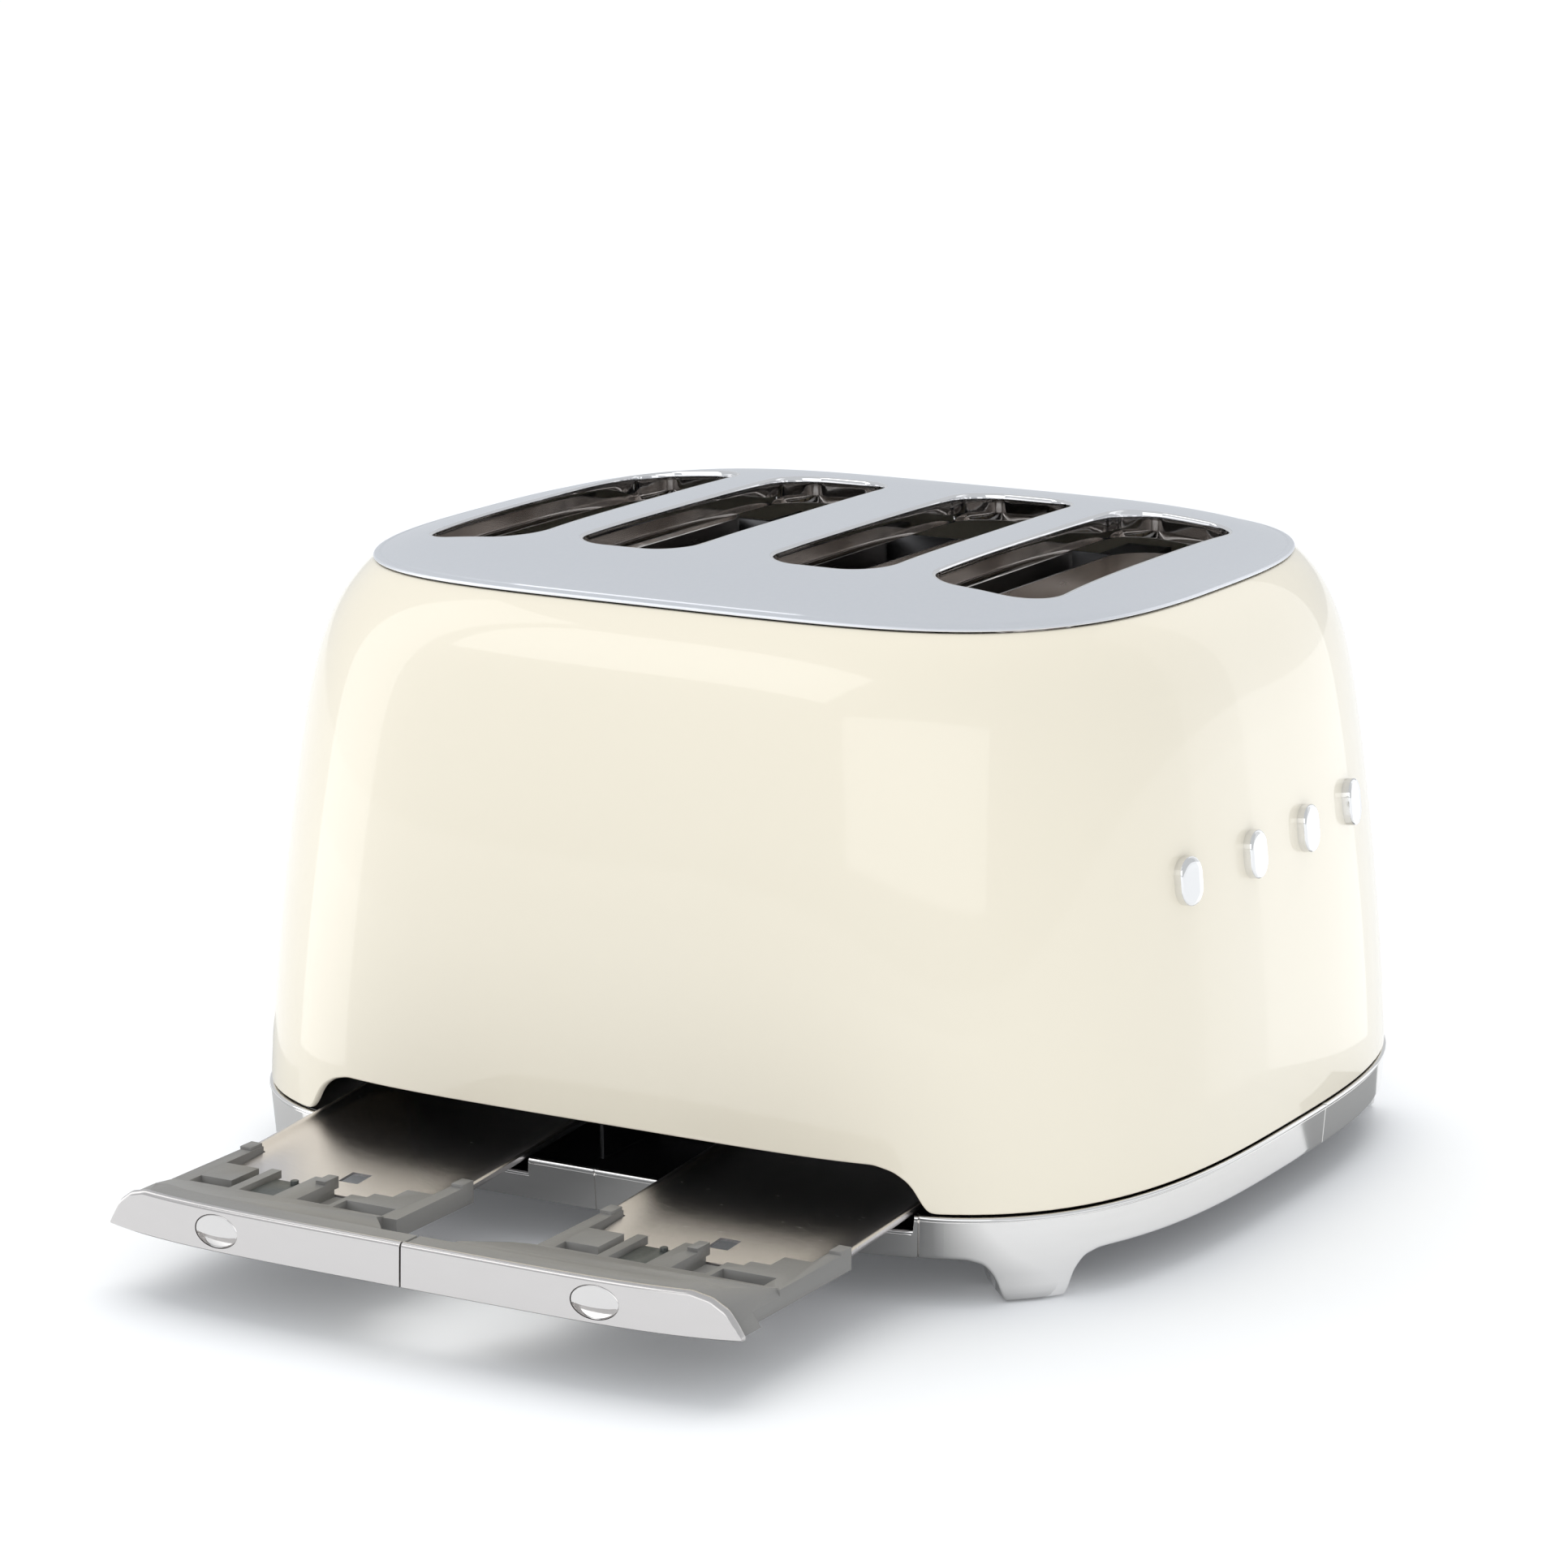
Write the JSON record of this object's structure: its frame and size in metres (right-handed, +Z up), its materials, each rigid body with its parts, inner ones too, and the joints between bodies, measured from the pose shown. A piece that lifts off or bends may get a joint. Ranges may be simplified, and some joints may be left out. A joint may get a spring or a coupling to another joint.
{
  "type": "pop up toaster",
  "caption": "Pop-up toaster with a rounded enamelled shell, slotted steel top, footed chrome base, lift levers, browning knobs and pull-out crumb trays.",
  "frame": {"origin": "under the middle of the whole part's bounding box, at the bottom of the foot pads, with the trays pulled out and the levers up", "axes": "+Z up; +Y towards the levers, knobs and buttons; the crumb trays pull out towards -Y; +X to the right when facing the trays"},
  "size_m": [0.3258, 0.4192, 0.2036],
  "materials": {
    "base_chrome": "polished",
    "bezel_chrome": "polished",
    "brushed_tray_steel": "brushed",
    "button_chrome": "polished",
    "carriage_steel": "plated",
    "circuit_board": "coated laminate",
    "cream_enamel": "gloss cream enamel",
    "dark_plastic": "moulded black",
    "dark_steel": "plain sheet",
    "fascia_chrome": "polished",
    "grey_plastic": "moulded grey",
    "guard_wire": "drawn wire",
    "heater_mica": "mica sheet with heating wire",
    "knob_chrome": "polished",
    "latch_plastic": "moulded dark green-grey",
    "liner_steel": "plain sheet",
    "magnet_iron": "laminated",
    "pad_rubber": "matte",
    "rod_steel": "ground",
    "satin_steel": "satin brushed",
    "spring_wire": "drawn wire"
  },
  "bodies": {
    "chassis": {"body_shell": "cream_enamel", "top_plate": "satin_steel", "base_skirt": "base_chrome", "base_pan": "dark_steel", "cord_gland": "dark_plastic", "control_board": "circuit_board", "end_plate_front": "dark_steel", "end_plate_rear": "dark_steel", "lever_guide_left": "bezel_chrome", "guide_rod_left": "rod_steel", "return_spring_left": "spring_wire", "magnet_left": "magnet_iron", "foot_pad_front_left": "pad_rubber", "foot_pad_rear_left": "pad_rubber", "slot_liner_left_outer": "liner_steel", "slot_liner_left_inner": "liner_steel", "heater_board_left_outer": "heater_mica", "heater_board_left_middle": "heater_mica", "heater_board_left_inner": "heater_mica", "lever_guide_right": "bezel_chrome", "guide_rod_right": "rod_steel", "return_spring_right": "spring_wire", "magnet_right": "magnet_iron", "foot_pad_front_right": "pad_rubber", "foot_pad_rear_right": "pad_rubber", "slot_liner_right_outer": "liner_steel", "slot_liner_right_inner": "liner_steel", "heater_board_right_outer": "heater_mica", "heater_board_right_middle": "heater_mica", "heater_board_right_inner": "heater_mica"},
    "tray_left": {"tray_fascia_left": "fascia_chrome", "tray_frame_left": "grey_plastic", "crumb_tray_left": "brushed_tray_steel"},
    "tray_release_left": {"tray_button_left": "button_chrome", "tray_latch_left": "latch_plastic"},
    "lift_left": {"carriage_left": "carriage_steel", "lever_knob_left": "knob_chrome"},
    "browning_left": {"browning_knob_left": "knob_chrome"},
    "button_left_1": {"button_left_1": "button_chrome"},
    "button_left_2": {"button_left_2": "button_chrome"},
    "button_left_3": {"button_left_3": "button_chrome"},
    "bread_guard_left_outer_a": {"bread_guard_left_outer_a": "guard_wire"},
    "bread_guard_left_outer_b": {"bread_guard_left_outer_b": "guard_wire"},
    "bread_guard_left_inner_a": {"bread_guard_left_inner_a": "guard_wire"},
    "bread_guard_left_inner_b": {"bread_guard_left_inner_b": "guard_wire"},
    "tray_right": {"tray_fascia_right": "fascia_chrome", "tray_frame_right": "grey_plastic", "crumb_tray_right": "brushed_tray_steel"},
    "tray_release_right": {"tray_button_right": "button_chrome", "tray_latch_right": "latch_plastic"},
    "lift_right": {"carriage_right": "carriage_steel", "lever_knob_right": "knob_chrome"},
    "browning_right": {"browning_knob_right": "knob_chrome"},
    "button_right_1": {"button_right_1": "button_chrome"},
    "button_right_2": {"button_right_2": "button_chrome"},
    "button_right_3": {"button_right_3": "button_chrome"},
    "bread_guard_right_outer_a": {"bread_guard_right_outer_a": "guard_wire"},
    "bread_guard_right_outer_b": {"bread_guard_right_outer_b": "guard_wire"},
    "bread_guard_right_inner_a": {"bread_guard_right_inner_a": "guard_wire"},
    "bread_guard_right_inner_b": {"bread_guard_right_inner_b": "guard_wire"}
  },
  "joints": [
    {"name": "tray_left_slide", "type": "slide", "parent": "chassis", "child": "tray_left", "axis": [0, -0.9976, -0.0698], "range_m": [-0.105, 0.15]},
    {"name": "tray_left_release", "type": "slide", "parent": "tray_left", "child": "tray_release_left", "axis": [0, 1, 0], "range_m": [0, 0.002], "stiffness_N_per_m": 400, "springref_m": -0.002},
    {"name": "lift_left_slide", "type": "slide", "parent": "chassis", "child": "lift_left", "axis": [0, 0, -1], "range_m": [0, 0.072], "stiffness_N_per_m": 80, "springref_m": -0.08, "deforming": ["return_spring_left"]},
    {"name": "browning_left_turn", "type": "hinge", "parent": "chassis", "child": "browning_left", "pos_m": [-0.06235, 0.19365, 0.062], "axis": [0, 1, 0], "range_deg": [-135, 135]},
    {"name": "button_left_1_press", "type": "slide", "parent": "chassis", "child": "button_left_1", "axis": [0, -1, 0], "range_m": [0, 0.0025], "stiffness_N_per_m": 300, "springref_m": -0.002},
    {"name": "button_left_2_press", "type": "slide", "parent": "chassis", "child": "button_left_2", "axis": [0, -1, 0], "range_m": [0, 0.0025], "stiffness_N_per_m": 300, "springref_m": -0.002},
    {"name": "button_left_3_press", "type": "slide", "parent": "chassis", "child": "button_left_3", "axis": [0, -1, 0], "range_m": [0, 0.0025], "stiffness_N_per_m": 300, "springref_m": -0.002},
    {"name": "bread_guard_left_outer_a_tilt", "type": "hinge", "parent": "chassis", "child": "bread_guard_left_outer_a", "pos_m": [-0.1047, 0.04005, 0.072], "axis": [0, 1, 0], "range_deg": [0, 5]},
    {"name": "bread_guard_left_outer_b_tilt", "type": "hinge", "parent": "chassis", "child": "bread_guard_left_outer_b", "pos_m": [-0.0763, 0.04005, 0.072], "axis": [0, -1, 0], "range_deg": [0, 5]},
    {"name": "bread_guard_left_inner_a_tilt", "type": "hinge", "parent": "chassis", "child": "bread_guard_left_inner_a", "pos_m": [-0.0484, 0.04005, 0.072], "axis": [0, 1, 0], "range_deg": [0, 5]},
    {"name": "bread_guard_left_inner_b_tilt", "type": "hinge", "parent": "chassis", "child": "bread_guard_left_inner_b", "pos_m": [-0.02, 0.04005, 0.072], "axis": [0, -1, 0], "range_deg": [0, 5]},
    {"name": "tray_right_slide", "type": "slide", "parent": "chassis", "child": "tray_right", "axis": [0, -0.9976, -0.0698], "range_m": [-0.105, 0.15]},
    {"name": "tray_right_release", "type": "slide", "parent": "tray_right", "child": "tray_release_right", "axis": [0, 1, 0], "range_m": [0, 0.002], "stiffness_N_per_m": 400, "springref_m": -0.002},
    {"name": "lift_right_slide", "type": "slide", "parent": "chassis", "child": "lift_right", "axis": [0, 0, -1], "range_m": [0, 0.072], "stiffness_N_per_m": 80, "springref_m": -0.08, "deforming": ["return_spring_right"]},
    {"name": "browning_right_turn", "type": "hinge", "parent": "chassis", "child": "browning_right", "pos_m": [0.06235, 0.19365, 0.062], "axis": [0, 1, 0], "range_deg": [-135, 135]},
    {"name": "button_right_1_press", "type": "slide", "parent": "chassis", "child": "button_right_1", "axis": [0, -1, 0], "range_m": [0, 0.0025], "stiffness_N_per_m": 300, "springref_m": -0.002},
    {"name": "button_right_2_press", "type": "slide", "parent": "chassis", "child": "button_right_2", "axis": [0, -1, 0], "range_m": [0, 0.0025], "stiffness_N_per_m": 300, "springref_m": -0.002},
    {"name": "button_right_3_press", "type": "slide", "parent": "chassis", "child": "button_right_3", "axis": [0, -1, 0], "range_m": [0, 0.0025], "stiffness_N_per_m": 300, "springref_m": -0.002},
    {"name": "bread_guard_right_outer_a_tilt", "type": "hinge", "parent": "chassis", "child": "bread_guard_right_outer_a", "pos_m": [0.0763, 0.04005, 0.072], "axis": [0, 1, 0], "range_deg": [0, 5]},
    {"name": "bread_guard_right_outer_b_tilt", "type": "hinge", "parent": "chassis", "child": "bread_guard_right_outer_b", "pos_m": [0.1047, 0.04005, 0.072], "axis": [0, -1, 0], "range_deg": [0, 5]},
    {"name": "bread_guard_right_inner_a_tilt", "type": "hinge", "parent": "chassis", "child": "bread_guard_right_inner_a", "pos_m": [0.02, 0.04005, 0.072], "axis": [0, 1, 0], "range_deg": [0, 5]},
    {"name": "bread_guard_right_inner_b_tilt", "type": "hinge", "parent": "chassis", "child": "bread_guard_right_inner_b", "pos_m": [0.0484, 0.04005, 0.072], "axis": [0, -1, 0], "range_deg": [0, 5]}
  ],
  "couplings": [
    {"joint": "bread_guard_left_outer_a_tilt", "follows": "lift_left_slide", "rad_per_m": 1.2},
    {"joint": "bread_guard_left_outer_b_tilt", "follows": "lift_left_slide", "rad_per_m": 1.2},
    {"joint": "bread_guard_left_inner_a_tilt", "follows": "lift_left_slide", "rad_per_m": 1.2},
    {"joint": "bread_guard_left_inner_b_tilt", "follows": "lift_left_slide", "rad_per_m": 1.2},
    {"joint": "bread_guard_right_outer_a_tilt", "follows": "lift_right_slide", "rad_per_m": 1.2},
    {"joint": "bread_guard_right_outer_b_tilt", "follows": "lift_right_slide", "rad_per_m": 1.2},
    {"joint": "bread_guard_right_inner_a_tilt", "follows": "lift_right_slide", "rad_per_m": 1.2},
    {"joint": "bread_guard_right_inner_b_tilt", "follows": "lift_right_slide", "rad_per_m": 1.2}
  ]
}
